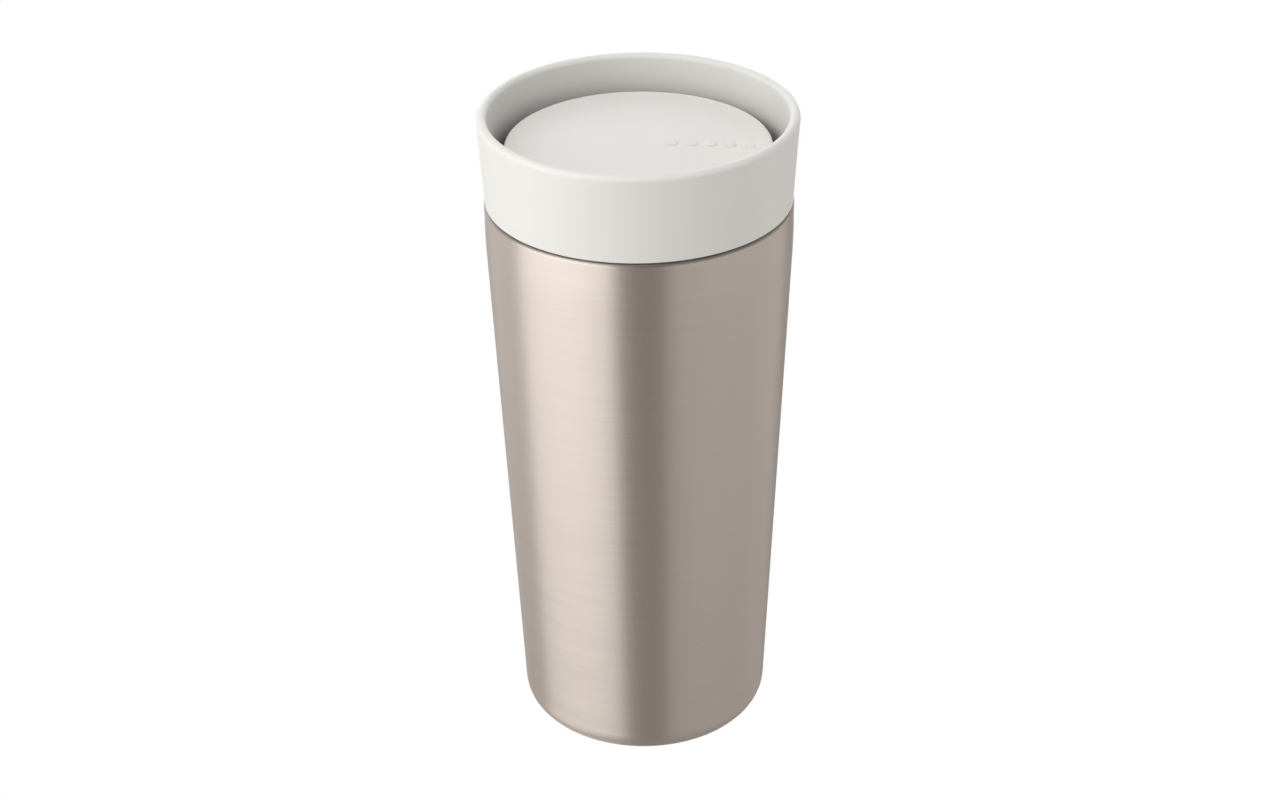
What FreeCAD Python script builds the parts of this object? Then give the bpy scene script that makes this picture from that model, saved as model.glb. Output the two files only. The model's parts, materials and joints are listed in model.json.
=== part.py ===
"""Insulated travel mug: a vacuum-walled steel beaker with a screw-in lid, a drinking collar
that pours all the way round, and a push-push button that opens the ring valve.

Millimetres. +Z is up, the origin is the centre of the foot's underside on the table.
The mug is drawn closed: lid screwed down, button up, valve shut.
"""

import FreeCAD, Part
import Sketcher
import os
from types import SimpleNamespace

Vector = FreeCAD.Vector

# Driving dimensions: alias, value and meaning. Radii are finished radii about the mug's axis.
DRIVING = [
    # steel body
    ("shell_height", 151.5, "top of the steel rim above the table"),
    ("rim_radius", 39.6, "steel body's cone, carried up to the rim"),
    ("rim_draw", 0.4, "how far the rim itself stands in from that cone"),
    ("rim_draw_height", 9.0, "band below the rim that draws in"),
    ("base_radius", 32.95, "steel body's cone, carried down to the table"),
    ("base_corner", 6.3, "rounding from the side to the bottom"),
    ("rim_rounding", 0.7, "rounding of the rim's outer edge"),
    ("shell_wall", 0.6, "outer shell sheet"),
    ("liner_wall", 0.5, "inner liner sheet"),
    ("shell_lift", 0.5, "shell's underside above the table"),
    ("shoulder_width", 2.1, "flat top of the rim, from the shell in to the neck"),
    ("neck_depth", 15.5, "straight neck below the rim"),
    ("neck_slope", 2.5, "height of the slope below the neck"),
    ("vacuum_gap", 3.0, "evacuated gap between shell and liner"),
    ("floor_height", 8.0, "drinking floor above the table"),
    ("floor_corner", 6.0, "rounding of the drinking floor"),
    ("turned_edge", 3.0, "shell's turned-in edge, inwards from the corner"),
    ("weld_lap", 2.5, "overlap of the bottom disc on that edge"),
    # underside
    ("foot_thick", 1.1, "silicone foot ring"),
    ("foot_gap", 0.2, "gap round the foot ring"),
    ("foot_rounding", 0.4, "rounding of the foot ring's edges"),
    ("foot_inner", 14.0, "foot ring's inner radius"),
    ("cover_thick", 0.7, "cover plate over the vacuum port"),
    ("cover_rounding", 0.2, "rounding of that plate's edge"),
    ("port_dimple", 5.0, "radius of the dimple round the vacuum port"),
    ("port_depth", 1.2, "depth of that dimple"),
    ("port_radius", 0.8, "vacuum port"),
    ("bead_radius", 2.4, "bead that seals the port"),
    ("bead_thick", 0.8, "bead that seals the port"),
    ("getter_offset", 14.0, "getter's distance from the axis"),
    ("getter_radius", 4.5, "getter cup"),
    ("getter_height", 2.6, "getter cup"),
    ("getter_wall", 0.4, "getter cup"),
    ("pellet_height", 1.5, "getter pellet"),
    # thread between lid and neck
    ("thread_lead", 20.0, "rise in one turn"),
    ("thread_starts", 4, "ridges, and lugs"),
    ("thread_height", 2.0, "ridge or lug along the axis, at its root"),
    ("thread_tip", 1.2, "the same at its crest"),
    ("thread_drop", 7.0, "first ridge's middle below the rim"),
    ("thread_room", 1.7, "space between the lid's skirt and the neck"),
    ("ridge_clearance", 0.5, "ridge's crest to the skirt"),
    ("ridge_angle", 80.0, "each ridge's length round the neck, degrees"),
    ("lug_angle", 60.0, "each lug's length round the skirt, degrees"),
    ("lug_lead_in", 10.0, "how far each lug has turned in under its ridge, degrees"),
    # lid
    ("gasket_thick", 1.2, "lid gasket between flange and rim"),
    ("gasket_lip", 1.1, "gasket's lip down into the neck"),
    ("flange_thick", 1.2, "lid body's flange"),
    ("skirt_wall", 1.8, "lid body's threaded skirt"),
    ("seat_drop", 14.0, "valve seat's sealing face below the rim"),
    ("seat_thick", 2.0, "valve seat"),
    ("seat_width", 5.0, "valve seat"),
    ("seat_fall", 1.0, "fall of the seat's top towards its bore"),
    ("spoke_width", 5.0, "spokes between skirt and hub"),
    ("spoke_height", 4.0, "spokes between skirt and hub"),
    ("spoke_rise", 4.1, "spokes above the hub's underside"),
    ("spoke_count", 3, "spokes"),
    ("hub_wall", 2.5, "ring that holds the latch housing"),
    ("hub_height", 10.1, "the same ring"),
    # drinking collar
    ("collar_height", 23.5, "lip above the steel rim"),
    ("collar_flare", 0.75, "lip's radius over the rim's"),
    ("collar_step", 0.7, "rim's radius over the collar's lower edge"),
    ("collar_wall", 2.7, "collar wall, and the lip's width"),
    ("collar_gap", 0.5, "shadow gap over the steel rim"),
    ("apron_wall", 0.9, "thin skirt round the flange"),
    ("well_depth", 17.0, "straight inside wall below the lip"),
    ("seal_width", 1.4, "seal under the collar"),
    ("seal_height", 1.3, "seal under the collar"),
    ("snap_bead", 0.25, "bead that snaps into the collar"),
    ("snap_room", 0.05, "clearance round the flange in the collar"),
    # push button
    ("press_travel", 6.0, "full stroke of the button"),
    ("pour_gap", 3.8, "gap between button and lip, at the button's edge"),
    ("cap_crown", 1.5, "dome of the button"),
    ("cap_top", 1.5, "button's top at its edge"),
    ("cap_depth", 7.0, "button's side"),
    ("cap_taper", 1.6, "how far the side draws in"),
    ("cap_wall", 1.6, "side's thickness at its lower edge"),
    ("cap_rounding", 1.0, "rounding of the button's edge"),
    ("carrier_thick", 1.5, "carrier disc in the button"),
    ("carrier_set_back", 0.5, "carrier's rim above the button's lower edge"),
    ("guard_wall", 1.2, "splash guard round the latch"),
    ("plunger_key", 2.2, "width of the plunger's keys"),
    ("key_length", 2.9, "length of the plunger's keys"),
    ("key_reach", 1.2, "keys' depth in their slots with the button up"),
    # latch
    ("housing_bore", 10.5, "latch housing"),
    ("housing_wall", 1.5, "latch housing"),
    ("housing_flange", 1.2, "housing's flange on the hub"),
    ("housing_gap", 2.0, "housing above the valve plate"),
    ("housing_cap_thick", 2.4, "cap under the housing"),
    ("cap_step_width", 0.4, "step on that cap"),
    ("cap_step_height", 1.2, "step on that cap"),
    ("clip_thick", 1.0, "retaining clip"),
    ("clip_lift", 0.5, "retaining clip above the cap"),
    ("clip_width", 2.4, "retaining clip"),
    ("clip_groove", 0.6, "clip's groove in the housing"),
    ("clip_opening", 70.0, "gap in the clip, degrees"),
    ("rotor_radius", 7.6, "latch rotor's sleeve"),
    ("rotor_height", 5.2, "latch rotor's sleeve"),
    ("rotor_turn", 60.0, "how far the rotor turns in one stroke, degrees"),
    ("rotor_lug_angle", 18.0, "each rotor lug, degrees"),
    ("rotor_lug_height", 2.5, "each rotor lug"),
    ("rotor_lug_rise", 0.7, "lugs above the rotor's underside"),
    ("rotor_lugs", 3, "lugs, cam tracks and keys"),
    ("cam_height", 10.0, "cam ring in the housing"),
    ("cam_room", 1.1, "cam ring to the rotor's sleeve"),
    ("cam_cover", 0.5, "housing above the cam ring"),
    ("plunger_room", 0.5, "plunger's sleeve to the cam ring"),
    ("cut_past", 0.5, "how far a cut runs past the face that it opens"),
    ("track_angle", 5.0, "track's room at each end, degrees"),
    ("crown_depth", 0.8, "crown teeth between plunger and rotor"),
    ("crown_teeth", 6, "crown teeth"),
    ("spring_length", 10.9, "return spring, button up"),
    ("spring_radius", 6.2, "return spring, middle of the wire"),
    ("spring_wire", 0.8, "return spring"),
    ("spring_turns", 4.5, "return spring"),
    # valve
    ("stem_radius", 3.0, "valve stem"),
    ("spigot_radius", 2.5, "stem's end through the plate"),
    ("stem_shoulder", 1.2, "shoulder that the plate is clamped to"),
    ("stem_seal_width", 1.9, "seal round the stem"),
    ("stem_seal_height", 1.6, "seal round the stem"),
    ("plate_thick", 2.5, "valve plate"),
    ("plate_overlap", 2.0, "plate's radius over the seat's bore"),
    ("plate_ledge", 1.0, "ledge for the valve gasket"),
    ("valve_gasket_height", 2.5, "valve gasket"),
    ("valve_gasket_reach", 1.3, "gasket's radius over the plate's"),
    ("nut_height", 4.0, "nut under the valve plate"),
    ("nut_radius", 6.5, "nut under the valve plate"),
    ("nut_notches", 6, "finger notches round the nut"),
    ("notch_radius", 1.1, "each notch"),
    ("notch_out", 0.5, "notch's centre outside the nut"),
    # clearances
    ("run_gap", 0.3, "between moving faces"),
    ("shaft_fit", 0.08, "radial running fit on the stem"),
    ("stop_gap", 0.5, "left at the end of the stroke"),
]


class Size:
    """A number together with the spreadsheet formula it comes from."""

    def __init__(self, number, formula):
        self.number = number
        self.formula = formula

    def __add__(self, other):
        other = as_size(other)
        return Size(self.number + other.number, f"({self.formula} + {other.formula})")

    def __sub__(self, other):
        other = as_size(other)
        return Size(self.number - other.number, f"({self.formula} - {other.formula})")

    def __mul__(self, other):
        other = as_size(other)
        return Size(self.number * other.number, f"({self.formula} * {other.formula})")

    def __truediv__(self, other):
        other = as_size(other)
        return Size(self.number / other.number, f"({self.formula} / {other.formula})")

    def __neg__(self):
        return Size(-self.number, f"(0 - {self.formula})")


def as_size(value):
    return value if isinstance(value, Size) else Size(float(value), repr(float(value)))


def make_sheet(doc):
    """Write the driving dimensions to the sheet and return them as sizes, by name."""
    sheet = doc.addObject("Spreadsheet::Sheet", "dims")
    sizes = SimpleNamespace()
    for row, (alias, value, meaning) in enumerate(DRIVING, start=1):
        sheet.set(f"A{row}", str(value))
        sheet.setAlias(f"A{row}", alias)
        sheet.set(f"B{row}", meaning)
        setattr(sizes, alias, Size(float(value), f"dims.{alias}"))
    doc.recompute()
    return sizes


# ---------------------------------------------------------------- sketches and features


def new_body(doc, label):
    body = doc.addObject("PartDesign::Body", label)
    body.Label = label
    return body


def origin_plane(body, role):
    return next(part for part in body.Origin.OriginFeatures if part.Role == role)


def new_sketch(body, name, role, lift=None, turn=None):
    """A sketch on one of the body's origin planes, lifted off it or turned about the axis."""
    sketch = body.newObject("Sketcher::SketchObject", name)
    sketch.AttachmentSupport = [(origin_plane(body, role), "")]
    sketch.MapMode = "FlatFace"
    if lift is not None:
        sketch.setExpression("AttachmentOffset.Base.z", lift.formula)
    if turn is not None:
        offset = FreeCAD.Rotation(Vector(0, 1, 0), turn.number)
        sketch.AttachmentOffset = FreeCAD.Placement(Vector(0, 0, 0), offset)
        sketch.setExpression("AttachmentOffset.Rotation.Angle", turn.formula)
    return sketch


def bind_vertex(sketch, edge, axis, value):
    """Hold the start of an edge at a signed distance from the sketch's origin."""
    if value.number >= 0:
        bind = sketch.addConstraint(Sketcher.Constraint(axis, -1, 1, edge, 1, value.number))
        sketch.setExpression(f"Constraints[{bind}]", value.formula)
    else:
        value = -value
        bind = sketch.addConstraint(Sketcher.Constraint(axis, edge, 1, -1, 1, value.number))
        sketch.setExpression(f"Constraints[{bind}]", value.formula)


def draw_outline(sketch, corners):
    """Close straight edges through the corners, each corner bound to the sheet."""
    corners = [(as_size(x), as_size(y)) for x, y in corners]
    count = len(corners)
    spots = [Vector(x.number, y.number, 0) for x, y in corners]
    for index in range(count):
        sketch.addGeometry(Part.LineSegment(spots[index], spots[(index + 1) % count]))
    for index in range(count):
        following = (index + 1) % count
        sketch.addConstraint(Sketcher.Constraint("Coincident", index, 2, following, 1))
    for index, (x, y) in enumerate(corners):
        bind_vertex(sketch, index, "DistanceX", x)
        bind_vertex(sketch, index, "DistanceY", y)


def draw_circle(sketch, x, y, radius):
    """A circle bound to the sheet by its centre and radius."""
    x, y, radius = as_size(x), as_size(y), as_size(radius)
    centre = Vector(x.number, y.number, 0)
    edge = sketch.addGeometry(Part.Circle(centre, Vector(0, 0, 1), radius.number))
    for axis, value in (("DistanceX", x), ("DistanceY", y)):
        bind = sketch.addConstraint(Sketcher.Constraint(axis, -1, 1, edge, 3, value.number))
        sketch.setExpression(f"Constraints[{bind}]", value.formula)
    bind = sketch.addConstraint(Sketcher.Constraint("Radius", edge, radius.number))
    sketch.setExpression(f"Constraints[{bind}]", radius.formula)


def keep_tip(body, feature):
    """Make a feature the body's result and work it out, so that the next can build on it."""
    body.Tip = feature
    body.Document.recompute()
    return feature


def turn_profile(body, name, corners, kind="Revolution", angle=None):
    """Revolve or groove an outline of (radius, height) corners about the axis.

    With an angle, the sector is centred on the +X side.
    """
    sketch = new_sketch(body, f"{name}_profile", "XZ_Plane")
    draw_outline(sketch, corners)
    feature = body.newObject(f"PartDesign::{kind}", name)
    feature.Profile = sketch
    feature.ReferenceAxis = (sketch, ["V_Axis"])
    feature.Angle = 360
    if angle is not None:
        feature.Angle = angle.number
        feature.setExpression("Angle", angle.formula)
        feature.Midplane = True
    return keep_tip(body, feature)


def sweep_helix(body, name, corners, lead, angle, kind="Additive", left_handed=False, turn=None):
    """Sweep an outline of (radius, height) corners along a helix of the given lead."""
    sketch = new_sketch(body, f"{name}_section", "XZ_Plane", turn=turn)
    draw_outline(sketch, corners)
    body.Document.recompute()
    feature = body.newObject(f"PartDesign::{kind}Helix", name)
    feature.Profile = sketch
    feature.ReferenceAxis = (sketch, ["V_Axis"])
    feature.Mode = "pitch-turns-angle"
    feature.LeftHanded = left_handed
    feature.setExpression("Pitch", lead.formula)
    feature.setExpression("Turns", (angle / 360).formula)
    return keep_tip(body, feature)


def push_outline(body, name, corners, low, tall, kind="Pad"):
    """Pad an outline up from a level, or pocket it down from there."""
    sketch = new_sketch(body, f"{name}_outline", "XY_Plane", lift=low)
    draw_outline(sketch, corners)
    feature = body.newObject(f"PartDesign::{kind}", name)
    feature.Profile = sketch
    feature.setExpression("Length", tall.formula)
    return keep_tip(body, feature)


def repeat_round(body, feature, count, name):
    """Repeat a feature evenly round the axis."""
    pattern = body.newObject("PartDesign::PolarPattern", name)
    pattern.Originals = [feature]
    pattern.Axis = (feature.Profile[0], ["V_Axis"])
    if feature.Profile[0].AttachmentSupport[0][0].Role == "XY_Plane":
        pattern.Axis = (feature.Profile[0], ["N_Axis"])
    pattern.Angle = 360
    pattern.setExpression("Occurrences", count.formula)
    return keep_tip(body, pattern)


def round_rings(body, rings, name):
    """Fillet the circular edges found at each (radius, height), by that ring's rounding."""
    for order, (radius, level, rounding) in enumerate(rings):
        base = body.Tip
        edges = [
            f"Edge{number}"
            for number, edge in enumerate(base.Shape.Edges, start=1)
            if is_ring(edge, radius.number, level.number)
        ]
        feature = body.newObject("PartDesign::Fillet", f"{name}_{order}")
        feature.Base = (base, edges)
        feature.Radius = rounding.number
        feature.setExpression("Radius", rounding.formula)
        keep_tip(body, feature)


def is_ring(edge, radius, level):
    """Whether an edge is a circle about the axis at a radius and height."""
    if edge.Degenerated or not isinstance(edge.Curve, Part.Circle):
        return False
    off_size = abs(edge.Curve.Radius - radius) + abs(edge.Curve.Center.z - level)
    off_axis = abs(edge.Curve.Center.x) + abs(edge.Curve.Center.y)
    return off_size + off_axis < 0.001


def add_tube(body, name, inner, outer, low, high):
    """A plain ring about the axis. An inner radius of zero makes a disc."""
    return turn_profile(body, name, [(inner, low), (outer, low), (outer, high), (inner, high)])


# ---------------------------------------------------------------- places shared by pieces


def work_out_places(d):
    """Levels and radii that several pieces share, from the driving dimensions."""
    p = SimpleNamespace()

    def shell_radius(level):
        return d.base_radius + (d.rim_radius - d.base_radius) * level / d.shell_height

    p.shell_radius = shell_radius
    p.rim = d.shell_height
    p.neck_outer = d.rim_radius - d.shoulder_width
    p.neck_inner = p.neck_outer - d.liner_wall
    p.neck_low = p.rim - d.neck_depth
    p.base_opening = d.base_radius - d.base_corner - d.turned_edge
    p.disc_low = d.shell_lift + d.shell_wall

    p.skirt_outer = p.neck_inner - d.thread_room
    p.skirt_inner = p.skirt_outer - d.skirt_wall
    p.flange_low = p.rim + d.gasket_thick
    p.flange_top = p.flange_low + d.flange_thick
    p.collar_low = p.rim + d.collar_gap
    p.collar_outer = d.rim_radius - d.collar_step
    p.lip_outer = d.rim_radius + d.collar_flare
    p.lip_top = p.rim + d.collar_height
    p.flange_outer = p.collar_outer - d.apron_wall

    p.seat_low = p.rim - d.seat_drop
    p.seat_inner = p.skirt_inner - d.seat_width
    p.plate_outer = p.seat_inner + d.plate_overlap
    p.ledge = p.seat_low - d.valve_gasket_height
    p.plate_top = p.ledge + d.plate_ledge
    p.plate_low = p.plate_top - d.plate_thick

    p.housing_outer = d.housing_bore + d.housing_wall
    p.housing_low = p.plate_top + d.housing_gap
    p.housing_floor = p.housing_low + d.housing_cap_thick
    p.hub_low = p.housing_floor + d.clip_thick + d.clip_lift
    p.hub_top = p.hub_low + d.hub_height
    p.hub_outer = p.housing_outer + d.hub_wall
    p.rotor_low = p.housing_floor + d.spring_length
    p.rotor_top = p.rotor_low + d.rotor_height
    p.cam_inner = d.rotor_radius + d.cam_room
    p.cam_low = p.rotor_top - d.cam_height
    p.housing_top = p.rotor_top + d.cam_cover
    p.carrier_low = p.housing_top + d.press_travel + d.stop_gap
    p.carrier_top = p.carrier_low + d.carrier_thick
    p.cap_edge = p.carrier_top + d.cap_top
    p.cap_low = p.cap_edge - d.cap_depth
    p.cap_radius = p.lip_outer - d.collar_wall - d.pour_gap
    p.cap_inner = p.cap_radius - d.cap_taper - d.cap_wall
    p.plunger_outer = p.cam_inner - d.plunger_room
    return p


# ---------------------------------------------------------------- steel body


def make_outer_shell(doc, d, p):
    """Drawn steel cone, upright at the top, with turned-in rim and bottom edges."""
    body = new_body(doc, "outer_shell")
    inside_low = d.shell_lift + d.shell_wall
    inside_high = p.rim - d.shell_wall
    draw_low = p.rim - d.rim_draw_height
    drawn_radius = d.rim_radius - d.rim_draw
    corners = [
        (p.base_opening, d.shell_lift),
        (p.shell_radius(d.shell_lift), d.shell_lift),
        (p.shell_radius(draw_low), draw_low),
        (drawn_radius, p.rim),
        (p.neck_outer, p.rim),
        (p.neck_outer, inside_high),
        (drawn_radius - d.shell_wall, inside_high),
        (p.shell_radius(draw_low) - d.shell_wall, draw_low),
        (p.shell_radius(inside_low) - d.shell_wall, inside_low),
        (p.base_opening, inside_low),
    ]
    turn_profile(body, "drawn_shell", corners)
    rings = [
        (p.shell_radius(d.shell_lift), d.shell_lift, d.base_corner),
        (p.shell_radius(inside_low) - d.shell_wall, inside_low, d.base_corner - d.shell_wall),
        (drawn_radius, p.rim, d.rim_rounding),
        (drawn_radius - d.shell_wall, inside_high, d.rim_rounding - d.shell_wall),
    ]
    round_rings(body, rings, "shell_rounding")
    return body


def make_inner_liner(doc, d, p):
    """Deep-drawn liner: straight neck with rolled thread ridges, then a cone and a floor."""
    body = new_body(doc, "inner_liner")
    gap = d.shell_wall + d.vacuum_gap
    slope_low = p.neck_low - d.neck_slope
    wall_top = p.shell_radius(slope_low) - gap
    wall_low = p.shell_radius(d.floor_height) - gap
    floor_under = d.floor_height - d.liner_wall
    corners = [
        (0, floor_under),
        (wall_low, floor_under),
        (wall_top, slope_low),
        (p.neck_outer, p.neck_low),
        (p.neck_outer, p.rim),
        (p.neck_inner, p.rim),
        (p.neck_inner, p.neck_low),
        (wall_top - d.liner_wall, slope_low),
        (wall_low - d.liner_wall, d.floor_height),
        (0, d.floor_height),
    ]
    turn_profile(body, "drawn_liner", corners)
    rings = [
        (wall_low, floor_under, d.floor_corner + d.liner_wall),
        (wall_low - d.liner_wall, d.floor_height, d.floor_corner),
    ]
    round_rings(body, rings, "floor_rounding")

    middle = p.rim - d.thread_drop
    tip = p.skirt_outer + d.ridge_clearance
    root = p.neck_inner + d.liner_wall / 2
    section = [
        (root, middle - d.thread_height / 2),
        (root, middle + d.thread_height / 2),
        (tip, middle + d.thread_tip / 2),
        (tip, middle - d.thread_tip / 2),
    ]
    ridge = sweep_helix(body, "ridge", section, d.thread_lead, d.ridge_angle)
    repeat_round(body, ridge, d.thread_starts, "ridges")
    return body


def make_outer_bottom(doc, d, p):
    """Disc welded inside the shell's turned-in edge, dimpled up round the vacuum port."""
    body = new_body(doc, "outer_bottom")
    outer = p.base_opening + d.weld_lap
    top = p.disc_low + d.shell_wall
    roof = p.disc_low + d.port_depth
    corners = [
        (d.port_dimple, p.disc_low),
        (outer, p.disc_low),
        (outer, top),
        (d.port_dimple + d.shell_wall, top),
        (d.port_dimple, roof + d.shell_wall),
        (d.port_radius, roof + d.shell_wall),
        (d.port_radius, roof),
        (d.port_dimple - d.shell_wall, roof),
    ]
    turn_profile(body, "bottom_disc", corners)
    return body


def make_vacuum_seal_bead(doc, d, p):
    body = new_body(doc, "vacuum_seal_bead")
    roof = p.disc_low + d.port_depth
    add_tube(body, "bead", 0, d.bead_radius, roof - d.bead_thick, roof)
    return body


def make_getter_cup(doc, d, p):
    """Small open cup on the bottom disc, inside the vacuum."""
    body = new_body(doc, "getter_cup")
    low = p.disc_low + d.shell_wall
    inner = d.getter_radius - d.getter_wall
    corners = [
        (0, low),
        (d.getter_radius, low),
        (d.getter_radius, low + d.getter_height),
        (inner, low + d.getter_height),
        (inner, low + d.getter_wall),
        (0, low + d.getter_wall),
    ]
    turn_profile(body, "cup", corners)
    body.setExpression("Placement.Base.x", d.getter_offset.formula)
    return body


def make_getter_pellet(doc, d, p):
    body = new_body(doc, "getter_pellet")
    low = p.disc_low + d.shell_wall + d.getter_wall
    outer = d.getter_radius - d.getter_wall
    add_tube(body, "pellet", 0, outer, low, low + d.pellet_height)
    body.setExpression("Placement.Base.x", d.getter_offset.formula)
    return body


def make_base_cover(doc, d, p):
    """Plate over the vacuum port, inside the foot ring."""
    body = new_body(doc, "base_cover")
    outer = d.foot_inner - d.foot_gap
    add_tube(body, "cover", 0, outer, p.disc_low - d.cover_thick, p.disc_low)
    round_rings(body, [(outer, p.disc_low - d.cover_thick, d.cover_rounding)], "cover_edge")
    return body


def make_foot_ring(doc, d, p):
    """Silicone ring that the mug stands on."""
    body = new_body(doc, "foot_ring")
    outer = p.base_opening - d.foot_gap
    low = p.disc_low - d.foot_thick
    add_tube(body, "foot", d.foot_inner, outer, low, p.disc_low)
    rings = [(outer, low, d.foot_rounding), (d.foot_inner, low, d.foot_rounding)]
    round_rings(body, rings, "foot_edge")
    return body


# ---------------------------------------------------------------- lid


def make_lid_gasket(doc, d, p):
    """L-shaped silicone ring between the lid's flange and the steel rim."""
    body = new_body(doc, "lid_gasket")
    inner = p.skirt_outer + d.run_gap
    outer = p.flange_outer - d.run_gap
    lip_outer = p.neck_inner - d.run_gap
    lip_low = p.rim - d.gasket_lip
    corners = [
        (inner, lip_low),
        (lip_outer, lip_low),
        (lip_outer, p.rim),
        (outer, p.rim),
        (outer, p.flange_low),
        (inner, p.flange_low),
    ]
    turn_profile(body, "gasket", corners)
    return body


def make_lid_body(doc, d, p):
    """Threaded insert: flange, skirt with lugs, valve seat, and a hub on three spokes."""
    body = new_body(doc, "lid_body")
    bead_middle = (p.flange_low + p.flange_top) / 2
    seat_top = p.seat_low + d.seat_thick
    corners = [
        (p.seat_inner, p.seat_low),
        (p.skirt_outer, p.seat_low),
        (p.skirt_outer, p.flange_low),
        (p.flange_outer, p.flange_low),
        (p.flange_outer, bead_middle - d.snap_bead),
        (p.flange_outer + d.snap_bead, bead_middle),
        (p.flange_outer, bead_middle + d.snap_bead),
        (p.flange_outer, p.flange_top),
        (p.skirt_inner, p.flange_top),
        (p.skirt_inner, seat_top + d.seat_fall / 2),
        (p.seat_inner, seat_top - d.seat_fall / 2),
    ]
    turn_profile(body, "skirt", corners)

    hub_inner = p.housing_outer + d.snap_room
    half = d.spoke_width / 2
    spoke_low = p.hub_low + d.spoke_rise
    root = p.skirt_inner + d.skirt_wall / 2
    foot = (hub_inner + p.hub_outer) / 2
    outline = [(foot, -half), (root, -half), (root, half), (foot, half)]
    spoke = push_outline(body, "spoke", outline, spoke_low, d.spoke_height)
    repeat_round(body, spoke, d.spoke_count, "spokes")
    add_tube(body, "hub", hub_inner, p.hub_outer, p.hub_low, p.hub_top)

    climb = d.thread_lead * d.lug_lead_in / 360
    middle = p.rim - d.thread_drop + climb - d.thread_lead / d.thread_starts / 2
    tip = p.neck_inner - d.run_gap
    root = p.skirt_outer - d.skirt_wall / 2
    section = [
        (root, middle - d.thread_height / 2),
        (tip, middle - d.thread_tip / 2),
        (tip, middle + d.thread_tip / 2),
        (root, middle + d.thread_height / 2),
    ]
    lug = sweep_helix(body, "lug", section, d.thread_lead, d.lug_angle, turn=d.lug_lead_in)
    repeat_round(body, lug, d.thread_starts, "lugs")
    return body


def make_drinking_collar(doc, d, p):
    """Flared collar with a full round lip, over the lid body's flange."""
    body = new_body(doc, "drinking_collar")
    lip_inner = p.lip_outer - d.collar_wall
    taper = (p.lip_outer - p.collar_outer) / (p.lip_top - p.collar_low)
    well_low = p.lip_top - d.well_depth
    well_inner = p.lip_outer - taper * d.well_depth - d.collar_wall
    funnel_low = p.flange_top + d.seal_height
    apron = p.flange_outer + d.snap_room
    bead_middle = (p.flange_low + p.flange_top) / 2
    bead_half = d.snap_bead + d.snap_room
    seal_middle = (p.skirt_inner + p.flange_outer) / 2
    seal_inner = seal_middle - d.seal_width / 2
    seal_outer = seal_middle + d.seal_width / 2
    seal_top = p.flange_top + d.seal_height
    corners = [
        (p.collar_outer, p.collar_low),
        (p.lip_outer, p.lip_top),
        (lip_inner, p.lip_top),
        (well_inner, well_low),
        (p.skirt_inner, funnel_low),
        (p.skirt_inner, p.flange_top),
        (seal_inner, p.flange_top),
        (seal_inner, seal_top),
        (seal_outer, seal_top),
        (seal_outer, p.flange_top),
        (apron, p.flange_top),
        (apron, bead_middle + bead_half),
        (apron + d.snap_bead, bead_middle),
        (apron, bead_middle - bead_half),
        (apron, p.collar_low),
    ]
    turn_profile(body, "collar", corners)
    lip_rounding = d.collar_wall / 2 - d.snap_room
    rings = [(p.lip_outer, p.lip_top, lip_rounding), (lip_inner, p.lip_top, lip_rounding)]
    round_rings(body, rings, "lip_rounding")
    return body


def make_collar_seal(doc, d, p):
    body = new_body(doc, "collar_seal")
    middle = (p.skirt_inner + p.flange_outer) / 2
    half = d.seal_width / 2
    top = p.flange_top + d.seal_height
    add_tube(body, "seal", middle - half, middle + half, p.flange_top, top)
    return body


# ---------------------------------------------------------------- latch


def make_latch_housing(doc, d, p):
    """Tube in the lid's hub, with a cam ring that guides the rotor's lugs."""
    body = new_body(doc, "latch_housing")
    cap_outer = d.housing_bore + d.cap_step_width
    step_top = p.housing_low + d.cap_step_height
    groove_low = p.hub_low - d.clip_thick
    groove_inner = p.housing_outer - d.clip_groove
    flange_top = p.hub_top + d.housing_flange
    corners = [
        (cap_outer, p.housing_low),
        (p.housing_outer, p.housing_low),
        (p.housing_outer, groove_low),
        (groove_inner, groove_low),
        (groove_inner, p.hub_low),
        (p.housing_outer, p.hub_low),
        (p.housing_outer, p.hub_top),
        (p.hub_outer, p.hub_top),
        (p.hub_outer, flange_top),
        (p.housing_outer, flange_top),
        (p.housing_outer, p.housing_top),
        (d.housing_bore, p.housing_top),
        (d.housing_bore, p.rotor_top),
        (p.cam_inner, p.rotor_top),
        (p.cam_inner, p.cam_low),
        (d.housing_bore, p.cam_low),
        (d.housing_bore, step_top),
        (cap_outer, step_top),
    ]
    turn_profile(body, "tube", corners)

    # Each track is the path of a lug's section, so it clears the lug all the way down. It is
    # swept from its low end, under the full stroke, up to the lug's place at rest.
    fall = d.press_travel * 360 / d.rotor_turn
    start = d.rotor_turn + d.rotor_lug_angle / 2 + d.track_angle
    sweep = d.rotor_turn + d.rotor_lug_angle + d.track_angle * 2
    drop = fall * sweep / 360
    lug_top = p.rotor_low + d.rotor_lug_rise + d.rotor_lug_height
    corner_rise = fall * (d.rotor_lug_angle + d.track_angle) / 360
    track_top = lug_top + corner_rise + d.run_gap - drop
    track_low = p.cam_low - d.cut_past - drop
    track_inner = p.cam_inner - d.cut_past
    section = [
        (track_inner, track_low),
        (d.housing_bore, track_low),
        (d.housing_bore, track_top),
        (track_inner, track_top),
    ]
    track = sweep_helix(
        body, "track", section, fall, sweep, kind="Subtractive", left_handed=True, turn=start
    )
    repeat_round(body, track, d.rotor_lugs, "tracks")

    half = d.plunger_key / 2 + d.run_gap
    inner = p.cam_inner - d.cut_past
    outline = [(-half, inner), (half, inner), (half, d.housing_bore), (-half, d.housing_bore)]
    depth = d.key_reach + d.press_travel + d.stop_gap
    slot = push_outline(body, "key_slot", outline, p.rotor_top, depth, kind="Pocket")
    repeat_round(body, slot, d.rotor_lugs, "key_slots")
    return body


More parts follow.
